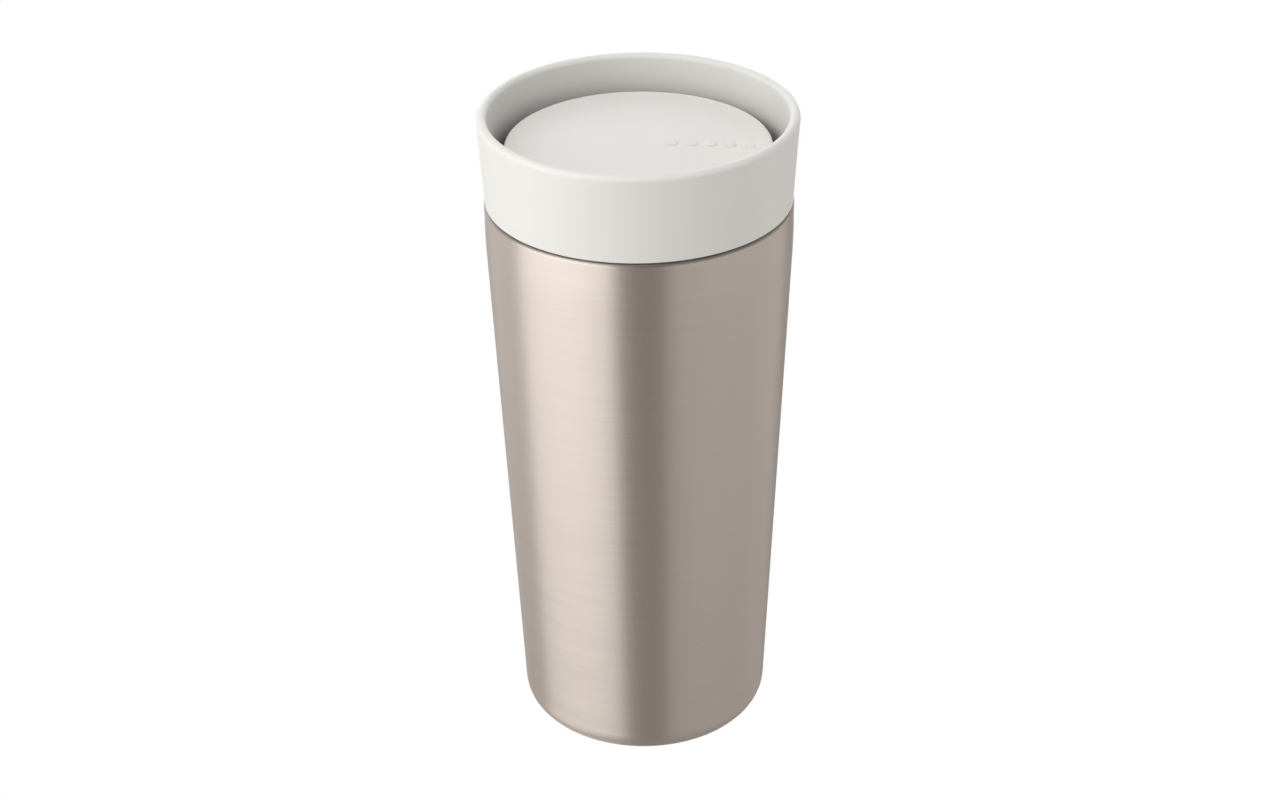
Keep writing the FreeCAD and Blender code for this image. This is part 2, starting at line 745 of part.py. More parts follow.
def make_housing_cap(doc, d, p):
    """Stepped cap pressed into the housing: the spring stands on it and the seal sits in it."""
    body = new_body(doc, "housing_cap")
    cap_outer = d.housing_bore + d.cap_step_width
    step_top = p.housing_low + d.cap_step_height
    seal_outer = d.stem_radius + d.stem_seal_width
    seal_top = p.housing_low + d.stem_seal_height
    corners = [
        (seal_outer, p.housing_low),
        (cap_outer, p.housing_low),
        (cap_outer, step_top),
        (d.housing_bore, step_top),
        (d.housing_bore, p.housing_floor),
        (d.stem_radius + d.run_gap, p.housing_floor),
        (d.stem_radius + d.run_gap, seal_top),
        (seal_outer, seal_top),
    ]
    turn_profile(body, "cap", corners)
    return body


def make_stem_seal(doc, d, p):
    body = new_body(doc, "stem_seal")
    inner = d.stem_radius + d.shaft_fit
    outer = d.stem_radius + d.stem_seal_width
    add_tube(body, "seal", inner, outer, p.housing_low, p.housing_low + d.stem_seal_height)
    return body


def make_housing_clip(doc, d, p):
    """Open retaining ring in the housing's groove, under the hub."""
    body = new_body(doc, "housing_clip")
    inner = p.housing_outer - d.clip_groove
    low = p.hub_low - d.clip_thick
    outer = inner + d.clip_width
    corners = [(inner, low), (outer, low), (outer, p.hub_low), (inner, p.hub_low)]
    turn_profile(body, "ring", corners, angle=as_size(360) - d.clip_opening)
    return body


def make_return_spring(doc, d, p):
    """Compression spring that lifts the rotor, and the button with it."""
    body = new_body(doc, "return_spring")
    low = p.housing_floor + d.spring_wire / 2 + d.snap_room
    lead = (d.spring_length - d.spring_wire - d.snap_room * 2) / d.spring_turns
    sketch = new_sketch(body, "wire_section", "XZ_Plane")
    draw_circle(sketch, d.spring_radius, low, d.spring_wire / 2)
    doc.recompute()
    coil = body.newObject("PartDesign::AdditiveHelix", "coil")
    coil.Profile = sketch
    coil.ReferenceAxis = (sketch, ["V_Axis"])
    coil.Mode = "pitch-turns-angle"
    coil.setExpression("Pitch", lead.formula)
    coil.setExpression("Turns", d.spring_turns.formula)
    keep_tip(body, coil)
    return body


def cut_crown(body, d, level, depth, name):
    """Cut radial V-notches into a ring's end face at a level, all the way across."""
    half = d.rotor_radius / d.crown_teeth
    sketch = new_sketch(body, f"{name}_notch", "YZ_Plane")
    draw_outline(sketch, [(-half, level), (half, level), (0, level - depth)])
    notch = body.newObject("PartDesign::Pocket", f"{name}_cut")
    notch.Profile = sketch
    notch.Type = "ThroughAll"
    notch.Midplane = True
    keep_tip(body, notch)
    pattern = body.newObject("PartDesign::PolarPattern", name)
    pattern.Originals = [notch]
    pattern.Axis = (sketch, ["V_Axis"])
    pattern.Angle = 360
    pattern.setExpression("Occurrences", d.crown_teeth.formula)
    keep_tip(body, pattern)


def make_latch_rotor(doc, d, p):
    """Sleeve that turns on the stem, with lugs in the cam tracks and crown teeth on top."""
    body = new_body(doc, "latch_rotor")
    add_tube(body, "sleeve", d.stem_radius + d.shaft_fit, d.rotor_radius, p.rotor_low, p.rotor_top)
    lug_low = p.rotor_low + d.rotor_lug_rise
    lug_high = lug_low + d.rotor_lug_height
    root = (d.stem_radius + d.rotor_radius) / 2
    tip = d.housing_bore - d.run_gap
    corners = [(root, lug_low), (tip, lug_low), (tip, lug_high), (root, lug_high)]
    lug = turn_profile(body, "lug", corners, angle=d.rotor_lug_angle)
    repeat_round(body, lug, d.rotor_lugs, "lugs")
    cut_crown(body, d, p.rotor_top, d.crown_depth, "crown")
    return body


# ---------------------------------------------------------------- button and valve


def make_push_plunger(doc, d, p):
    """Keyed sleeve under the button: pushes the rotor down without turning."""
    body = new_body(doc, "push_plunger")
    low = p.rotor_top + d.run_gap
    inner = d.stem_radius + d.run_gap
    add_tube(body, "sleeve", inner, p.plunger_outer, low, p.carrier_low)
    half = d.plunger_key / 2
    root = (d.stem_radius + p.plunger_outer) / 2
    prong = p.cam_inner - d.run_gap
    tip = d.housing_bore - d.run_gap * 2
    key_low = p.rotor_top - d.key_reach
    bridge = [(-half, root), (half, root), (half, tip), (-half, tip)]
    head_tall = d.key_length - d.key_reach - d.run_gap
    head = push_outline(body, "key_head", bridge, low, head_tall)
    repeat_round(body, head, d.rotor_lugs, "key_heads")
    prongs = [(-half, prong), (half, prong), (half, tip), (-half, tip)]
    key = push_outline(body, "key", prongs, key_low, d.key_length)
    repeat_round(body, key, d.rotor_lugs, "keys")
    cut_crown(body, d, low, -d.crown_depth, "crown")
    return body


def make_button_carrier(doc, d, p):
    """Disc inside the button that joins cap, plunger and stem, with a splash guard."""
    body = new_body(doc, "button_carrier")
    outer = p.cap_inner - d.snap_room
    guard_inner = p.housing_outer + d.run_gap * 2
    guard_low = p.hub_top + d.housing_flange + d.press_travel + d.stop_gap
    rim_inner = outer - d.guard_wall
    rim_low = p.cap_low + d.carrier_set_back
    corners = [
        (d.stem_radius, p.carrier_low),
        (guard_inner, p.carrier_low),
        (guard_inner, guard_low),
        (guard_inner + d.guard_wall, guard_low),
        (guard_inner + d.guard_wall, p.carrier_low),
        (rim_inner, p.carrier_low),
        (rim_inner, rim_low),
        (outer, rim_low),
        (outer, p.carrier_top),
        (d.stem_radius, p.carrier_top),
    ]
    turn_profile(body, "carrier", corners)
    return body


def make_button_cap(doc, d, p):
    """The button that is seen: a shallow dome with a side that draws in."""
    body = new_body(doc, "button_cap")
    sketch = new_sketch(body, "dome_profile", "XZ_Plane")
    crown = p.cap_edge + d.cap_crown
    dome = (p.cap_radius * p.cap_radius / d.cap_crown + d.cap_crown) / 2
    centre = crown - dome
    corners = [
        (as_size(0), crown),
        (as_size(0), p.carrier_top),
        (p.cap_inner, p.carrier_top),
        (p.cap_inner, p.cap_low),
        (p.cap_radius - d.cap_taper, p.cap_low),
        (p.cap_radius, p.cap_edge),
    ]
    spots = [Vector(x.number, y.number, 0) for x, y in corners]
    for start, end in zip(spots, spots[1:]):
        sketch.addGeometry(Part.LineSegment(start, end))
    half_way = p.cap_radius.number / 2
    middle_height = centre.number + (dome.number**2 - half_way**2) ** 0.5
    middle = Vector(half_way, middle_height, 0)
    arc = sketch.addGeometry(Part.Arc(spots[-1], middle, spots[0]))
    last = len(spots) - 2
    for edge in range(last):
        sketch.addConstraint(Sketcher.Constraint("Coincident", edge, 2, edge + 1, 1))
    for edge, (x, y) in enumerate(corners[:-1]):
        bind_vertex(sketch, edge, "DistanceX", x)
        bind_vertex(sketch, edge, "DistanceY", y)
    for axis, value in (("DistanceX", p.cap_radius), ("DistanceY", p.cap_edge)):
        bind = sketch.addConstraint(Sketcher.Constraint(axis, -1, 1, last, 2, value.number))
        sketch.setExpression(f"Constraints[{bind}]", value.formula)
    sketch.addConstraint(Sketcher.Constraint("Coincident", arc, 1, last, 2))
    sketch.addConstraint(Sketcher.Constraint("Coincident", arc, 2, 0, 1))
    bind = sketch.addConstraint(Sketcher.Constraint("Radius", arc, dome.number))
    sketch.setExpression(f"Constraints[{bind}]", dome.formula)
    feature = body.newObject("PartDesign::Revolution", "dome")
    feature.Profile = sketch
    feature.ReferenceAxis = (sketch, ["V_Axis"])
    feature.Angle = 360
    keep_tip(body, feature)
    round_rings(body, [(p.cap_radius, p.cap_edge, d.cap_rounding)], "edge_rounding")
    return body


def make_valve_stem(doc, d, p):
    """Stem from the button down through the latch, with a shoulder for the plate."""
    body = new_body(doc, "valve_stem")
    shoulder = p.plate_top + d.stem_shoulder
    corners = [
        (0, p.plate_low - d.nut_height),
        (d.spigot_radius, p.plate_low - d.nut_height),
        (d.spigot_radius, p.plate_top),
        (d.stem_radius + d.stem_seal_width, p.plate_top),
        (d.stem_radius + d.stem_seal_width, shoulder),
        (d.stem_radius, shoulder),
        (d.stem_radius, p.carrier_top),
        (0, p.carrier_top),
    ]
    turn_profile(body, "stem", corners)
    return body


def make_valve_plate(doc, d, p):
    """Disc that shuts the pouring gap, with a ledge for its gasket."""
    body = new_body(doc, "valve_plate")
    inner = p.plate_outer - d.plate_ledge
    corners = [
        (d.spigot_radius, p.plate_low),
        (p.plate_outer, p.plate_low),
        (p.plate_outer, p.ledge),
        (inner, p.ledge),
        (inner, p.plate_top),
        (d.spigot_radius, p.plate_top),
    ]
    turn_profile(body, "plate", corners)
    return body


def make_valve_gasket(doc, d, p):
    """Silicone ring on the plate's ledge, bevelled up to the valve seat."""
    body = new_body(doc, "valve_gasket")
    inner = p.plate_outer - d.plate_ledge
    outer = p.plate_outer + d.valve_gasket_reach
    corners = [
        (inner, p.ledge),
        (outer, p.ledge),
        (outer, p.ledge + d.valve_gasket_height / 2),
        (p.plate_outer + d.plate_ledge / 2, p.seat_low),
        (inner + d.plate_ledge / 2, p.seat_low),
        (inner, p.plate_top),
    ]
    turn_profile(body, "gasket", corners)
    return body


def make_valve_nut(doc, d, p):
    """Round nut with finger notches, under the plate."""
    body = new_body(doc, "valve_nut")
    low = p.plate_low - d.nut_height
    add_tube(body, "nut", d.spigot_radius, d.nut_radius, low, p.plate_low)
    sketch = new_sketch(body, "notch_outline", "XY_Plane", lift=p.plate_low)
    draw_circle(sketch, d.nut_radius + d.notch_out, 0, d.notch_radius)
    notch = body.newObject("PartDesign::Pocket", "notch")
    notch.Profile = sketch
    notch.setExpression("Length", d.nut_height.formula)
    keep_tip(body, notch)
    repeat_round(body, notch, d.nut_notches, "notches")
    return body


# ---------------------------------------------------------------- whole mug

MAKERS = [
    make_outer_shell,
    make_inner_liner,
    make_outer_bottom,
    make_vacuum_seal_bead,
    make_getter_cup,
    make_getter_pellet,
    make_base_cover,
    make_foot_ring,
    make_lid_gasket,
    make_lid_body,
    make_drinking_collar,
    make_collar_seal,
    make_latch_housing,
    make_housing_cap,
    make_stem_seal,
    make_housing_clip,
    make_return_spring,
    make_latch_rotor,
    make_push_plunger,
    make_button_carrier,
    make_button_cap,
    make_valve_stem,
    make_valve_plate,
    make_valve_gasket,
    make_valve_nut,
]


def check_document(doc, bodies):
    """Stop if any feature failed or any sub-part isn't one sound solid."""
    for item in doc.Objects:
        if "Invalid" in item.State or "Error" in item.State:
            raise RuntimeError(f"{item.Label} failed: {item.State}")
    for body in bodies:
        shape = body.Shape
        if shape.isNull() or not shape.isValid():
            raise RuntimeError(f"{body.Label} has no valid shape")
        if len(shape.Solids) != 1:
            raise RuntimeError(f"{body.Label} has {len(shape.Solids)} solids")


def main():
    doc = FreeCAD.newDocument("travel_mug")
    sizes = make_sheet(doc)
    places = work_out_places(sizes)
    bodies = [make(doc, sizes, places) for make in MAKERS]
    doc.recompute()
    check_document(doc, bodies)
    os.makedirs("parts", exist_ok=True)
    for body in bodies:
        body.Shape.exportStep(f"parts/{body.Label}.step")
        print(f"{body.Label:18} {body.Shape.Volume:12.2f} mm3")


main()
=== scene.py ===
"""Looks for an insulated travel mug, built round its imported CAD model. Metres, +Z up.

The pieces that are seen closed are turned again here as fine meshes, from the same sizes as the
CAD, and the pieces inside the lid keep their CAD shape and get a finish.
"""

import json
import math

import bmesh
import bpy
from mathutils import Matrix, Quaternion, Vector


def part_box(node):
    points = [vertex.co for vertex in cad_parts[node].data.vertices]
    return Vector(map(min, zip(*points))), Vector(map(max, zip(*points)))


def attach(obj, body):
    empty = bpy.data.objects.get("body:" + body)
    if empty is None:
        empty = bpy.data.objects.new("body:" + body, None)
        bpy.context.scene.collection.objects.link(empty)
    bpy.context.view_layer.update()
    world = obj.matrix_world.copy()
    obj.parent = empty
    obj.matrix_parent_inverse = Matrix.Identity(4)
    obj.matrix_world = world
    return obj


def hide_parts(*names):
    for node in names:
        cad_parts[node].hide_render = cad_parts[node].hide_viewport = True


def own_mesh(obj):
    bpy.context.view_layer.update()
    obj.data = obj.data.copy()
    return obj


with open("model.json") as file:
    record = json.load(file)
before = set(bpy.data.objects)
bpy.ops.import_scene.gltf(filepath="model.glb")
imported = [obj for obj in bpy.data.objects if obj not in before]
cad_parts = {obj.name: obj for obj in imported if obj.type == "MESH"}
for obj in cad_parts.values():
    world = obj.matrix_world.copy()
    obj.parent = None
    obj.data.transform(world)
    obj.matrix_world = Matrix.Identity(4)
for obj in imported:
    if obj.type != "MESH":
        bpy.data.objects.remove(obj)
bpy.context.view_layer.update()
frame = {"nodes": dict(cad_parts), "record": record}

MM = 0.001
SEGMENTS = 256
ARC_STEPS = 8
SHARP_ANGLE = math.radians(38)

scene = bpy.context.scene


# ---------------------------------------------------------------- camera

CAMERA_ELEVATION = math.radians(29.891)
CAMERA_DISTANCE = 0.65
CAMERA_TARGET = Vector((0, 0, 0.0875))
CAMERA_ROLL = -0.01228
CAMERA_LENS = 69.328
CAMERA_SHIFT = (-0.00492, 0.01327)


def add_camera():
    camera = bpy.data.objects.new("camera", bpy.data.cameras.new("camera"))
    scene.collection.objects.link(camera)
    look = Vector((0, math.cos(CAMERA_ELEVATION), -math.sin(CAMERA_ELEVATION)))
    camera.location = CAMERA_TARGET - look * CAMERA_DISTANCE
    camera.rotation_mode = "QUATERNION"
    roll = Quaternion((0, 0, 1), CAMERA_ROLL)
    camera.rotation_quaternion = look.to_track_quat("-Z", "Y") @ roll
    camera.data.sensor_width = 36
    camera.data.lens = CAMERA_LENS
    camera.data.shift_x, camera.data.shift_y = CAMERA_SHIFT
    camera.data.clip_start = 0.01
    scene.camera = camera


# ---------------------------------------------------------------- outlines and meshes


def round_corner(before, here, after, rounding):
    """Points of the arc that rounds one corner of an outline."""
    to_before = (before - here).normalized()
    to_after = (after - here).normalized()
    half = to_before.angle(to_after) / 2
    centre = here + (to_before + to_after).normalized() * rounding / math.sin(half)
    reach = rounding / math.tan(half)
    start = here + to_before * reach - centre
    end = here + to_after * reach - centre
    sweep = start.angle(end)
    points = []
    for step in range(ARC_STEPS + 1):
        share = step / ARC_STEPS
        along = math.sin((1 - share) * sweep) * start + math.sin(share * sweep) * end
        points.append(centre + along / math.sin(sweep))
    return points


RUN_MARGIN = 0.3
RUN_SPACING = 10.0


def divide_runs(points):
    """The closed outline with extra points near the ends of each long run, and along it."""
    divided = []
    for index, here in enumerate(points):
        after = points[(index + 1) % len(points)]
        length = (after - here).length
        divided.append(here)
        if length < 3 * RUN_MARGIN:
            continue
        middle = length - 2 * RUN_MARGIN
        steps = max(1, round(middle / RUN_SPACING))
        for step in range(steps + 1):
            share = (RUN_MARGIN + middle * step / steps) / length
            divided.append(here.lerp(after, share))
    return divided


def make_outline(corners):
    """(radius, height, rounding) corners in millimetres as a closed outline in metres."""
    flat = [Vector((radius, height)) for radius, height, _ in corners]
    points = []
    for index, (_, _, rounding) in enumerate(corners):
        here = flat[index]
        if rounding:
            before, after = flat[index - 1], flat[(index + 1) % len(flat)]
            points += round_corner(before, here, after, rounding)
        else:
            points.append(here)
    return [point * MM for point in divide_runs(points)]


def finish_mesh(name, mesh_data):
    """Close a bmesh into a smooth-shaded object with crisp edges."""
    bmesh.ops.remove_doubles(mesh_data, verts=mesh_data.verts, dist=1e-7)
    bmesh.ops.recalc_face_normals(mesh_data, faces=mesh_data.faces)
    mesh = bpy.data.meshes.new(name)
    mesh_data.to_mesh(mesh)
    mesh_data.free()
    mesh.shade_smooth()
    mesh.set_sharp_from_angle(angle=SHARP_ANGLE)
    piece = bpy.data.objects.new(name, mesh)
    scene.collection.objects.link(piece)
    return piece


def turn(name, outline, dent=None):
    """Turn a closed outline about the axis. dent(angle, height) draws the surface inwards."""
    mesh_data = bmesh.new()
    rings = []
    for point in outline:
        ring = []
        for segment in range(SEGMENTS):
            angle = 2 * math.pi * segment / SEGMENTS
            radius = point.x
            if dent and radius > 0:
                radius -= dent(angle, point.y)
            place = (radius * math.cos(angle), radius * math.sin(angle), point.y)
            ring.append(mesh_data.verts.new(place))
        rings.append(ring)
    on_axis = [point.x < 1e-7 for point in outline]
    for index, ring in enumerate(rings):
        after = (index + 1) % len(rings)
        if on_axis[index] and on_axis[after]:
            continue
        for segment in range(SEGMENTS):
            right = (segment + 1) % SEGMENTS
            low, high = ring, rings[after]
            if on_axis[index]:
                corners = [low[segment], high[right], high[segment]]
            elif on_axis[after]:
                corners = [low[segment], low[right], high[segment]]
            else:
                corners = [low[segment], low[right], high[right], high[segment]]
            mesh_data.faces.new(corners)
    return finish_mesh(name, mesh_data)


def coil(name, radius, wire, low, high, turns):
    """A round wire wound about the axis, with flat ends."""
    around, per_turn = 16, 72
    steps = round(turns * per_turn)
    lead = (high - low) / turns
    tilt = math.atan(lead / (2 * math.pi * radius))
    mesh_data = bmesh.new()
    rings = []
    for step in range(steps + 1):
        angle = 2 * math.pi * turns * step / steps
        outward = Vector((math.cos(angle), math.sin(angle), 0))
        along = Vector((-math.sin(angle), math.cos(angle), 0)) * math.cos(tilt)
        along.z = math.sin(tilt)
        upward = outward.cross(along)
        middle = outward * radius
        middle.z = low + (high - low) * step / steps
        ring = []
        for spot in range(around):
            turned = 2 * math.pi * spot / around
            offset = outward * math.cos(turned) + upward * math.sin(turned)
            ring.append(mesh_data.verts.new(middle + offset * wire / 2))
        rings.append(ring)
    for low_ring, high_ring in zip(rings, rings[1:]):
        for spot in range(around):
            right = (spot + 1) % around
            mesh_data.faces.new(
                [low_ring[spot], low_ring[right], high_ring[right], high_ring[spot]]
            )
    mesh_data.faces.new(rings[0])
    mesh_data.faces.new(rings[-1])
    return finish_mesh(name, mesh_data)


# ---------------------------------------------------------------- finishes


class Finish:
    """A node material with one main shader, and the few nodes that the finishes share."""

    def __init__(self, name, colour, roughness, metallic=0.0):
        self.material = bpy.data.materials.new(name)
        self.material.use_nodes = True
        self.tree = self.material.node_tree
        self.shader = self.tree.nodes["Principled BSDF"]
        self.shader.inputs["Metallic"].default_value = metallic
        self.shader.inputs["Roughness"].default_value = roughness
        self.colour = colour
        self.roughness = roughness
        self.place = self.add("ShaderNodeTexCoord").outputs["Object"]

    def add(self, kind, **values):
        node = self.tree.nodes.new(kind)
        for name, value in values.items():
            setattr(node, name, value)
        return node

    def noise(self, scale, detail=3.0):
        """Noise over the object, scaled along x, y and z in cells a metre."""
        mapping = self.add("ShaderNodeMapping")
        mapping.inputs["Scale"].default_value = scale
        self.tree.links.new(self.place, mapping.inputs["Vector"])
        noise = self.add("ShaderNodeTexNoise")
        noise.inputs["Scale"].default_value = 1.0
        noise.inputs["Detail"].default_value = detail
        self.tree.links.new(mapping.outputs["Vector"], noise.inputs["Vector"])
        return noise.outputs["Fac"]

    def vary_colour(self, factor, spread):
        """Colour that runs a little darker and lighter with the factor."""
        ramp = self.add("ShaderNodeValToRGB")
        low, high = ramp.color_ramp.elements
        low.position, high.position = 0.3, 0.7
        low.color = [channel * (1 - spread) for channel in self.colour] + [1]
        high.color = [min(1, channel * (1 + spread)) for channel in self.colour] + [1]
        self.tree.links.new(factor, ramp.inputs["Fac"])
        self.tree.links.new(ramp.outputs["Color"], self.shader.inputs["Base Color"])

    def vary_roughness(self, factor, spread):
        spans = self.add("ShaderNodeMapRange")
        spans.inputs["From Min"].default_value = 0.3
        spans.inputs["From Max"].default_value = 0.7
        spans.inputs["To Min"].default_value = self.roughness - spread
        spans.inputs["To Max"].default_value = self.roughness + spread
        self.tree.links.new(factor, spans.inputs["Value"])
        self.tree.links.new(spans.outputs["Result"], self.shader.inputs["Roughness"])

    def bump(self, factor, depth, strength=1.0):
        bump = self.add("ShaderNodeBump")
        bump.inputs["Distance"].default_value = depth
        bump.inputs["Strength"].default_value = strength
        self.tree.links.new(factor, bump.inputs["Height"])
        self.tree.links.new(bump.outputs["Normal"], self.shader.inputs["Normal"])


def brushed_steel(name, colour, roughness, anisotropy, spread=0.04):
    """Steel brushed round the axis: fine streaks, and light drawn out across them."""
    finish = Finish(name, colour, roughness, metallic=1.0)
    streaks = finish.noise((35, 35, 2600), detail=4.0)
    finish.vary_colour(streaks, spread)
    finish.vary_roughness(streaks, 0.05)
    finish.bump(streaks, 0.004 * MM)
    tangent = finish.add("ShaderNodeTangent", direction_type="RADIAL", axis="Z")
    finish.tree.links.new(tangent.outputs["Tangent"], finish.shader.inputs["Tangent"])
    finish.shader.inputs["Anisotropic"].default_value = anisotropy
    finish.shader.inputs["Anisotropic Rotation"].default_value = 0.25
    return finish.material


def dull_metal(name, colour, roughness):
    finish = Finish(name, colour, roughness, metallic=1.0)
    grain = finish.noise((1800, 1800, 1800))
    finish.vary_colour(grain, 0.08)
    finish.vary_roughness(grain, 0.08)
    finish.bump(grain, 0.01 * MM)
    return finish.material


def moulded_plastic(name, colour, roughness, grain_depth, specular=0.5):
    """Moulding with a fine spark-eroded grain and a slight cloudiness."""
    finish = Finish(name, colour, roughness)
    finish.vary_colour(finish.noise((60, 60, 60)), 0.012)
    grain = finish.noise((2200, 2200, 2200), detail=2.0)
    finish.vary_roughness(grain, 0.05)
    finish.bump(grain, grain_depth)
    finish.shader.inputs["Specular IOR Level"].default_value = specular
    return finish.material


# Painted shade: the collar's colour darkens inside these radii and below these heights, where
# the gutter lies in shadow.
PAINTED_SHADE_RADII = (38.2 * MM, 38.0 * MM)
PAINTED_SHADE_HEIGHTS = (164.5 * MM, 159.0 * MM)
FIRST_COLOUR, SECOND_COLOUR, MIXED_COLOUR = 6, 7, 2


def collar_moulding_painted_shade(name, colour, roughness, grain_depth, painted_shade_share):
    """The collar's moulding, with painted shade darkening the gutter at the foot of its pouring
    wall.

    Each pair of limits of the painted shade runs from where the shade starts to where it is
    full.
    """
    material = moulded_plastic(name, colour, roughness, grain_depth)
    nodes, links = material.node_tree.nodes, material.node_tree.links
    shader = nodes["Principled BSDF"]
    base = shader.inputs["Base Color"].links[0].from_socket
    parts = nodes.new("ShaderNodeSeparateXYZ")
    links.new(nodes["Texture Coordinate"].outputs["Object"], parts.inputs["Vector"])
    across = nodes.new("ShaderNodeCombineXYZ")
    links.new(parts.outputs["X"], across.inputs["X"])
    links.new(parts.outputs["Y"], across.inputs["Y"])
    radius = nodes.new("ShaderNodeVectorMath")
    radius.operation = "LENGTH"
    links.new(across.outputs["Vector"], radius.inputs[0])
    inside = nodes.new("ShaderNodeMapRange")
    inside.inputs["From Min"].default_value = PAINTED_SHADE_RADII[0]
    inside.inputs["From Max"].default_value = PAINTED_SHADE_RADII[1]
    links.new(radius.outputs["Value"], inside.inputs["Value"])
    deep = nodes.new("ShaderNodeMapRange")
    deep.inputs["From Min"].default_value = PAINTED_SHADE_HEIGHTS[0]
    deep.inputs["From Max"].default_value = PAINTED_SHADE_HEIGHTS[1]
    links.new(parts.outputs["Z"], deep.inputs["Value"])
    painted_shade_mask = nodes.new("ShaderNodeMath")
    painted_shade_mask.operation = "MULTIPLY"
    links.new(inside.outputs["Result"], painted_shade_mask.inputs[0])
    links.new(deep.outputs["Result"], painted_shade_mask.inputs[1])
    mixed = nodes.new("ShaderNodeMix")
    mixed.data_type = "RGBA"
    links.new(painted_shade_mask.outputs["Value"], mixed.inputs["Factor"])
    links.new(base, mixed.inputs[FIRST_COLOUR])
    # Painted shade: the plastic's colour scaled down to stand in for the gutter's shadow.
    painted_shade_colour = [channel * painted_shade_share for channel in colour] + [1]
    mixed.inputs[SECOND_COLOUR].default_value = painted_shade_colour
    links.new(mixed.outputs[MIXED_COLOUR], shader.inputs["Base Color"])
    return material


def silicone(name, colour, roughness):
    finish = Finish(name, colour, roughness)
    finish.vary_colour(finish.noise((90, 90, 90)), 0.03)
    skin = finish.noise((900, 900, 900))
    finish.vary_roughness(skin, 0.06)
    finish.bump(skin, 0.01 * MM)
    finish.shader.inputs["Sheen Weight"].default_value = 0.15
    return finish.material


FINISHES = {
    "brushed_shell_steel": brushed_steel("shell_steel", (0.66, 0.595, 0.545), 0.42, 0.85),
    "satin_steel": brushed_steel("liner_steel", (0.70, 0.68, 0.66), 0.38, 0.6),
    "getter_metal": dull_metal("getter_metal", (0.42, 0.41, 0.40), 0.6),
    "foot_silicone": silicone("foot_silicone", (0.34, 0.335, 0.32), 0.7),
    "seal_silicone": silicone("seal_silicone", (0.30, 0.30, 0.29), 0.5),
    # The collar plastic carries painted shade in its gutter.
    "warm_grey_plastic": collar_moulding_painted_shade(
        "collar_plastic_painted_shade", (0.77, 0.765, 0.735), 0.5, 0.006 * MM, painted_shade_share=0.08
    ),
    "lid_plastic": moulded_plastic("lid_plastic", (0.30, 0.30, 0.285), 0.42, 0.004 * MM),
    "latch_plastic": moulded_plastic("latch_plastic", (0.76, 0.76, 0.73), 0.35, 0.002 * MM),
    "spring_steel": dull_metal("spring_steel", (0.62, 0.62, 0.62), 0.25),
}


def wear(piece, slot):
    piece.data.materials.clear()
    piece.data.materials.append(FINISHES[slot])


def place(piece, node):
    """Let a piece stand for a CAD node: its body, its slot and its finish."""
    slot = SLOT_OF[node]
    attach(piece, BODY_OF[node])
    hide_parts(node)
    wear(piece, slot)


SLOT_OF = {part["node"]: part["material_slot"] for part in frame["record"]["subparts"]}
BODY_OF = {
    node: body
    for body, nodes in frame["record"]["behaviour"]["bodies"].items()
    for node in nodes
}


# ---------------------------------------------------------------- steel body

RIM = 151.5
RIM_RADIUS = 39.6
BASE_RADIUS = 32.95
BASE_OPENING = 23.65
BASE_CORNER = 6.3
SHELL_LOW = 0.5
SHELL_WALL = 0.6
UPRIGHT_FROM = 142.5
UPRIGHT_RADIUS = 39.2
UPRIGHT_BEND = 150
LINER_GAP = 3.6
LINER_WALL = 0.5
NECK_OUTER = 37.5
NECK_INNER = 37.0
DRINK_FLOOR = 8.0


def shell_radius(height):
    return BASE_RADIUS + (RIM_RADIUS - BASE_RADIUS) * height / RIM


def make_outer_shell():
    inside_low = SHELL_LOW + SHELL_WALL
    inside_high = RIM - SHELL_WALL
    corners = [
        (BASE_OPENING, SHELL_LOW, 0),
        (shell_radius(SHELL_LOW), SHELL_LOW, BASE_CORNER),
        (shell_radius(UPRIGHT_FROM), UPRIGHT_FROM, UPRIGHT_BEND),
        (UPRIGHT_RADIUS, RIM, 0.7),
        (NECK_OUTER, RIM, 0),
        (NECK_OUTER, inside_high, 0),
        (UPRIGHT_RADIUS - SHELL_WALL, inside_high, 0.1),
        (shell_radius(UPRIGHT_FROM) - SHELL_WALL, UPRIGHT_FROM, UPRIGHT_BEND),
        (shell_radius(inside_low) - SHELL_WALL, inside_low, BASE_CORNER - SHELL_WALL),
        (BASE_OPENING, inside_low, 0),
    ]
    return turn("outer_shell_skin", make_outline(corners))


THREAD_LEAD = 20.0
THREAD_STARTS = 4
THREAD_MIDDLE = 144.5
RIDGE_DEPTH = 1.2
RIDGE_ANGLE = math.radians(80)
RIDGE_RUN_OUT = math.radians(5)
RIDGE_CREST = 0.4
RIDGE_FLANK = 0.9
NECK_STEP = 0.3


def smooth_step(share):
    share = min(1, max(0, share))
    return share * share * (3 - 2 * share)


def ridge_dent(angle, height):
    """How far a rolled thread ridge draws the neck in at an angle and height."""
    apart = 2 * math.pi / THREAD_STARTS
    along = angle % apart
    middle = (THREAD_MIDDLE + THREAD_LEAD * along / (2 * math.pi)) * MM
    across = 1 - smooth_step((abs(height - middle) / MM - RIDGE_CREST) / RIDGE_FLANK)
    rises = smooth_step(along / RIDGE_RUN_OUT)
    falls = smooth_step((RIDGE_ANGLE - along) / RIDGE_RUN_OUT)
    return RIDGE_DEPTH * MM * across * rises * falls


